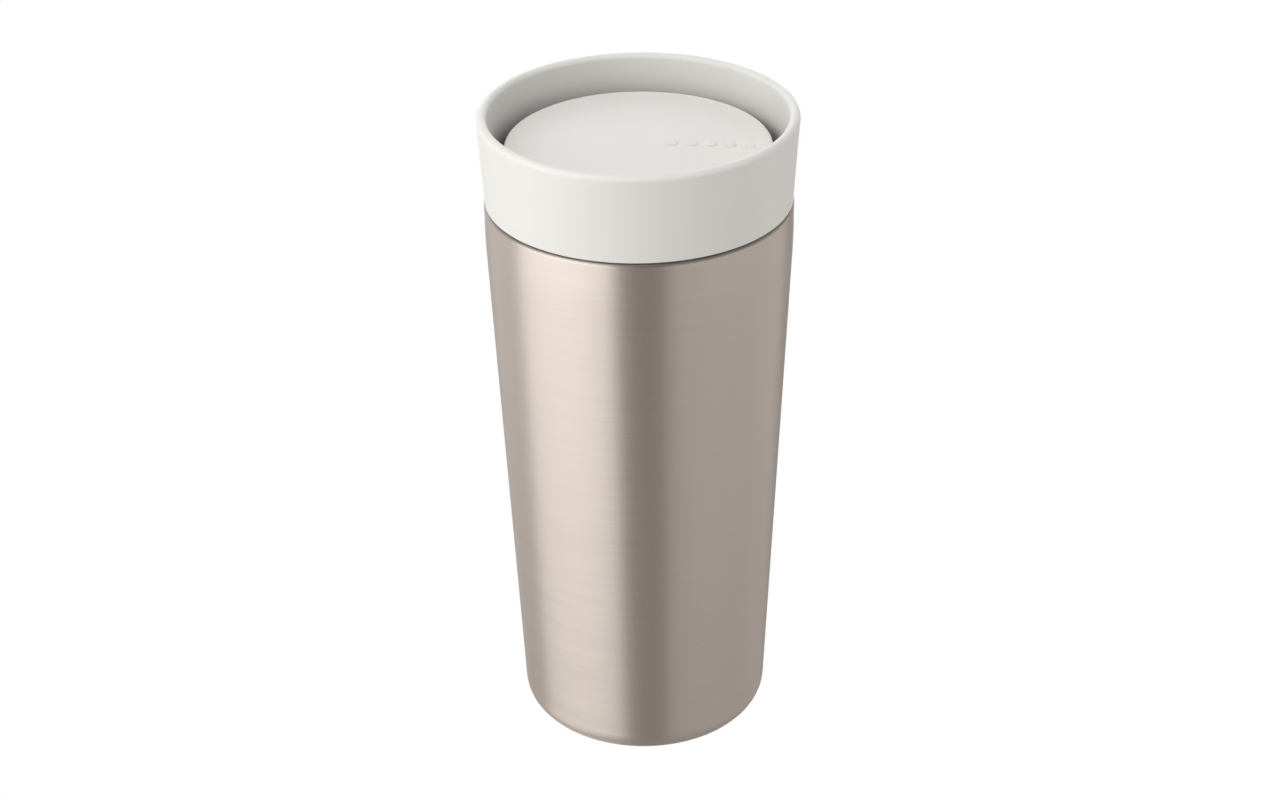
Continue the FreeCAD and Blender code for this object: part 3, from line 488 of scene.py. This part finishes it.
def make_inner_liner():
    slope_low = 133.5
    neck_low = 136.0
    wall_top = shell_radius(slope_low) - LINER_GAP
    wall_low = shell_radius(DRINK_FLOOR) - LINER_GAP
    corners = [
        (0, DRINK_FLOOR - LINER_WALL, 0),
        (wall_low, DRINK_FLOOR - LINER_WALL, 6.5),
        (wall_top, slope_low, 1.5),
        (NECK_OUTER, neck_low, 1.5),
        (NECK_OUTER, RIM, 0),
        (NECK_INNER, RIM, 0.2),
        (NECK_INNER, neck_low, 2.0),
        (wall_top - LINER_WALL, slope_low, 1.0),
        (wall_low - LINER_WALL, DRINK_FLOOR, 6.0),
        (0, DRINK_FLOOR, 0),
    ]
    outline = make_outline(corners)
    fine = []
    for here, after in zip(outline, outline[1:] + outline[:1]):
        fine.append(here)
        in_neck = min(here.y, after.y) > neck_low * MM and abs(after.y - here.y) > 1 * MM
        if in_neck:
            steps = round(abs(after.y - here.y) / (NECK_STEP * MM))
            fine += [here.lerp(after, step / steps) for step in range(1, steps)]
    return turn("inner_liner_skin", fine, dent=ridge_dent)


def make_foot_ring():
    """Flat ring with shallow grooves in the face that stands on the table."""
    inner, outer, top = 14.0, BASE_OPENING - 0.2, 1.1
    groove, depth = 0.5, 0.35
    corners = [(inner, 0, 0.4)]
    for middle in (16.6, 18.7, 20.8):
        corners += [
            (middle - groove, 0, 0.1),
            (middle - groove / 2, depth, 0.1),
            (middle + groove / 2, depth, 0.1),
            (middle + groove, 0, 0.1),
        ]
    corners += [(outer, 0, 0.4), (outer, top, 0), (inner, top, 0)]
    return turn("foot_ring_skin", make_outline(corners))


def make_base_cover():
    corners = [(0, 0.4, 0), (13.8, 0.4, 0.2), (13.8, 1.1, 0), (0, 1.1, 0)]
    return turn("base_cover_skin", make_outline(corners))


# ---------------------------------------------------------------- lid and button


def make_lid_gasket():
    corners = [
        (35.6, 150.4, 0.25),
        (36.7, 150.4, 0.25),
        (36.7, 151.5, 0),
        (37.7, 151.5, 0.2),
        (37.7, 152.7, 0.2),
        (35.6, 152.7, 0),
    ]
    return turn("lid_gasket_skin", make_outline(corners))


COLLAR_LOW = 152.0
COLLAR_TOP = 175.0
LIP_OUTER = 40.35
LIP_WIDTH = 2.7


def make_drinking_collar():
    flange_top, seal_top = 153.9, 155.2
    corners = [
        (38.9, COLLAR_LOW, 0.25),
        (LIP_OUTER, COLLAR_TOP, 1.3),
        (LIP_OUTER - LIP_WIDTH, COLLAR_TOP, 1.3),
        (36.588, 158.0, 2.0),
        (33.5, seal_top, 0.4),
        (33.5, flange_top, 0),
        (35.05, flange_top, 0),
        (35.05, seal_top, 0),
        (36.45, seal_top, 0),
        (36.45, flange_top, 0),
        (38.05, flange_top, 0),
        (38.05, COLLAR_LOW, 0.2),
    ]
    return turn("drinking_collar_skin", make_outline(corners))


BUTTON_RADIUS = 33.85
BUTTON_EDGE = 166.5
BUTTON_CROWN = 168.0
BUTTON_LOW = 159.5
BUTTON_UNDERSIDE = 165.0
BUTTON_RISE = BUTTON_CROWN - BUTTON_EDGE
DOME_RADIUS = (BUTTON_RADIUS**2 / BUTTON_RISE + BUTTON_RISE) / 2


def dome_height(radius):
    return BUTTON_CROWN - radius**2 / (2 * DOME_RADIUS)


def make_button_cap():
    corners = [(0, BUTTON_CROWN, 0)]
    corners += [(radius, dome_height(radius), 0) for radius in range(2, 32, 2)]
    corners += [
        (BUTTON_RADIUS, BUTTON_EDGE, 1.0),
        (32.25, BUTTON_LOW, 0.3),
        (30.65, BUTTON_LOW, 0.3),
        (30.65, BUTTON_UNDERSIDE, 0),
        (0, BUTTON_UNDERSIDE, 0),
    ]
    return turn("button_cap_skin", make_outline(corners))


DROP_COUNT = 5
DROP_SPACING = 4.8
DROP_HEIGHT = 5.0
DROPS_FROM = (8.2, -3.0)
DROP_RELIEF = 0.3
DROP_AROUND = 48
DROP_POINT = 1.6
DROP_LEVELS = [(1.0, -0.1), (1.0, 0.2), (0.93, 0.62), (0.8, 0.9), (0.5, 1.0)]


def make_drop(order):
    """A raised drop on the dome, soft at its edge and sunk a little into the surface.

    Each level is the share of the drop's full outline and of its full relief.
    """
    middle = Vector((DROPS_FROM[0] + DROP_SPACING * order, DROPS_FROM[1]))
    mesh_data = bmesh.new()
    rings = []
    for scale, lift in DROP_LEVELS:
        ring = []
        for spot in range(DROP_AROUND):
            turned = 2 * math.pi * spot / DROP_AROUND
            side = math.sin(turned) * math.sin(turned / 2) ** DROP_POINT
            flat = middle + Vector((side, math.cos(turned))) * DROP_HEIGHT / 2 * scale
            height = dome_height(flat.length) + lift * DROP_RELIEF
            ring.append(mesh_data.verts.new(Vector((flat.x, flat.y, height)) * MM))
        rings.append(ring)
    for low_ring, high_ring in zip(rings, rings[1:]):
        for spot in range(DROP_AROUND):
            right = (spot + 1) % DROP_AROUND
            mesh_data.faces.new(
                [low_ring[spot], low_ring[right], high_ring[right], high_ring[spot]]
            )
    mesh_data.faces.new(rings[0])
    mesh_data.faces.new(rings[-1])
    return finish_mesh(f"button_drop_{order + 1}", mesh_data)


SPRING_RADIUS = 6.2 * MM
SPRING_WIRE = 0.8 * MM
SPRING_TURNS = 4.5


def make_return_spring():
    low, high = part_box("return_spring")
    low_middle, high_middle = low.z + SPRING_WIRE / 2, high.z - SPRING_WIRE / 2
    return coil(
        "return_spring_wire", SPRING_RADIUS, SPRING_WIRE, low_middle, high_middle, SPRING_TURNS
    )


pieces = {
    "outer_shell": make_outer_shell,
    "inner_liner": make_inner_liner,
    "foot_ring": make_foot_ring,
    "base_cover": make_base_cover,
    "lid_gasket": make_lid_gasket,
    "drinking_collar": make_drinking_collar,
    "button_cap": make_button_cap,
    "return_spring": make_return_spring,
}
made = {node: make() for node, make in pieces.items()}
for node, piece in made.items():
    place(piece, node)
for order in range(DROP_COUNT):
    drop = make_drop(order)
    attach(drop, "button")
    wear(drop, SLOT_OF["button_cap"])
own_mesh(made["return_spring"])
for node, part in frame["nodes"].items():
    if node not in made:
        wear(part, SLOT_OF[node])


# ---------------------------------------------------------------- room and light


def hide_from_light(thing):
    """Seen by the camera alone, so that it neither lights nor shades the mug."""
    thing.visible_diffuse = False
    thing.visible_glossy = False
    thing.visible_transmission = False
    thing.visible_shadow = False


def glowing_white(name):
    """White from its own even glow alone, so that nothing shades it."""
    finish = Finish(name, (0, 0, 0), 0.9)
    finish.vary_colour(finish.noise((3, 3, 3)), 0.004)
    finish.shader.inputs["Specular IOR Level"].default_value = 0.0
    finish.shader.inputs["Emission Color"].default_value = (1, 1, 1, 1)
    finish.shader.inputs["Emission Strength"].default_value = 1.0
    return finish.material


def add_room():
    mesh_data = bmesh.new()
    bmesh.ops.create_circle(mesh_data, cap_ends=True, segments=96, radius=5)
    floor = finish_mesh("floor", mesh_data)
    floor.data.materials.append(glowing_white("floor_white"))
    mesh_data = bmesh.new()
    bmesh.ops.create_uvsphere(mesh_data, u_segments=64, v_segments=32, radius=4.9)
    backdrop = finish_mesh("backdrop", mesh_data)
    backdrop.data.materials.append(glowing_white("backdrop_white"))
    for thing in (floor, backdrop):
        hide_from_light(thing)


def add_softbox(name, azimuth, distance, width, low, high, radiance, tilt=0.0, mirrored=True):
    """A softbox that faces the mug's axis. Azimuth 0 is the camera's side."""
    light = bpy.data.lights.new(name, "AREA")
    light.shape = "RECTANGLE"
    light.size = width
    light.size_y = high - low
    light.energy = radiance * math.pi * width * (high - low)
    softbox = bpy.data.objects.new(name, light)
    scene.collection.objects.link(softbox)
    around = math.radians(azimuth)
    outward = Vector((math.sin(around), -math.cos(around), 0))
    softbox.location = outward * distance + Vector((0, 0, (low + high) / 2))
    aim = Vector((0, 0, -tilt)) - outward
    softbox.rotation_euler = aim.to_track_quat("-Z", "Y").to_euler()
    softbox.visible_camera = False
    softbox.visible_glossy = mirrored


def add_flat_light(name, height, size, radiance):
    """A level round light over the mug, left out of its reflections."""
    light = bpy.data.lights.new(name, "AREA")
    light.shape = "DISK"
    light.size = size
    light.energy = radiance * math.pi * math.pi * size**2 / 4
    panel = bpy.data.objects.new(name, light)
    scene.collection.objects.link(panel)
    panel.location = (0, 0, height)
    panel.visible_camera = False
    panel.visible_glossy = False


WORLD_LOW = 0.34
WORLD_HIGH = 0.12


def add_world():
    """Dim warm surroundings, lighter below the table's level than above it."""
    world = bpy.data.worlds.new("studio")
    scene.world = world
    world.use_nodes = True
    nodes, links = world.node_tree.nodes, world.node_tree.links
    background = nodes["Background"]
    background.inputs["Color"].default_value = (1.06, 0.99, 0.94, 1)
    parts = nodes.new("ShaderNodeSeparateXYZ")
    links.new(nodes.new("ShaderNodeTexCoord").outputs["Generated"], parts.inputs["Vector"])
    spans = nodes.new("ShaderNodeMapRange")
    spans.inputs["From Min"].default_value = -0.1
    spans.inputs["From Max"].default_value = 0.2
    spans.inputs["To Min"].default_value = WORLD_LOW
    spans.inputs["To Max"].default_value = WORLD_HIGH
    links.new(parts.outputs["Z"], spans.inputs["Value"])
    links.new(spans.outputs["Result"], background.inputs["Strength"])


def add_lights():
    add_softbox("key_left", -56.7, 0.9, 1.47, -0.5, 0.9, 1.55)
    add_softbox("side_left", -122, 0.9, 0.8, -0.45, 0.7, 0.5)
    add_softbox("fill_front_right", 50, 0.9, 1.1, -0.5, 0.6, 0.49)
    add_softbox("fill_back_right", 107, 0.9, 0.88, -0.5, 0.6, 0.4)
    add_softbox("low_front", 12, 0.9, 0.8, -0.9, 0.17, 0.22, mirrored=False)
    add_softbox("low_right", 116, 0.9, 1.0, -0.9, 0.17, 0.85, mirrored=False)
    add_softbox("back", 180, 0.95, 0.95, -0.3, 0.8, 1.7)
    add_softbox("key_high", -60, 0.62, 0.7, 0.6, 1.2, 1.22, tilt=1.28)
    add_softbox("fill_high", 50, 0.62, 0.7, 0.6, 1.2, 0.5, tilt=1.28, mirrored=False)
    add_flat_light("overhead", 1.2, 1.0, 2.4)


add_world()
add_camera()
add_room()
add_lights()
scene.view_settings.view_transform = "Standard"
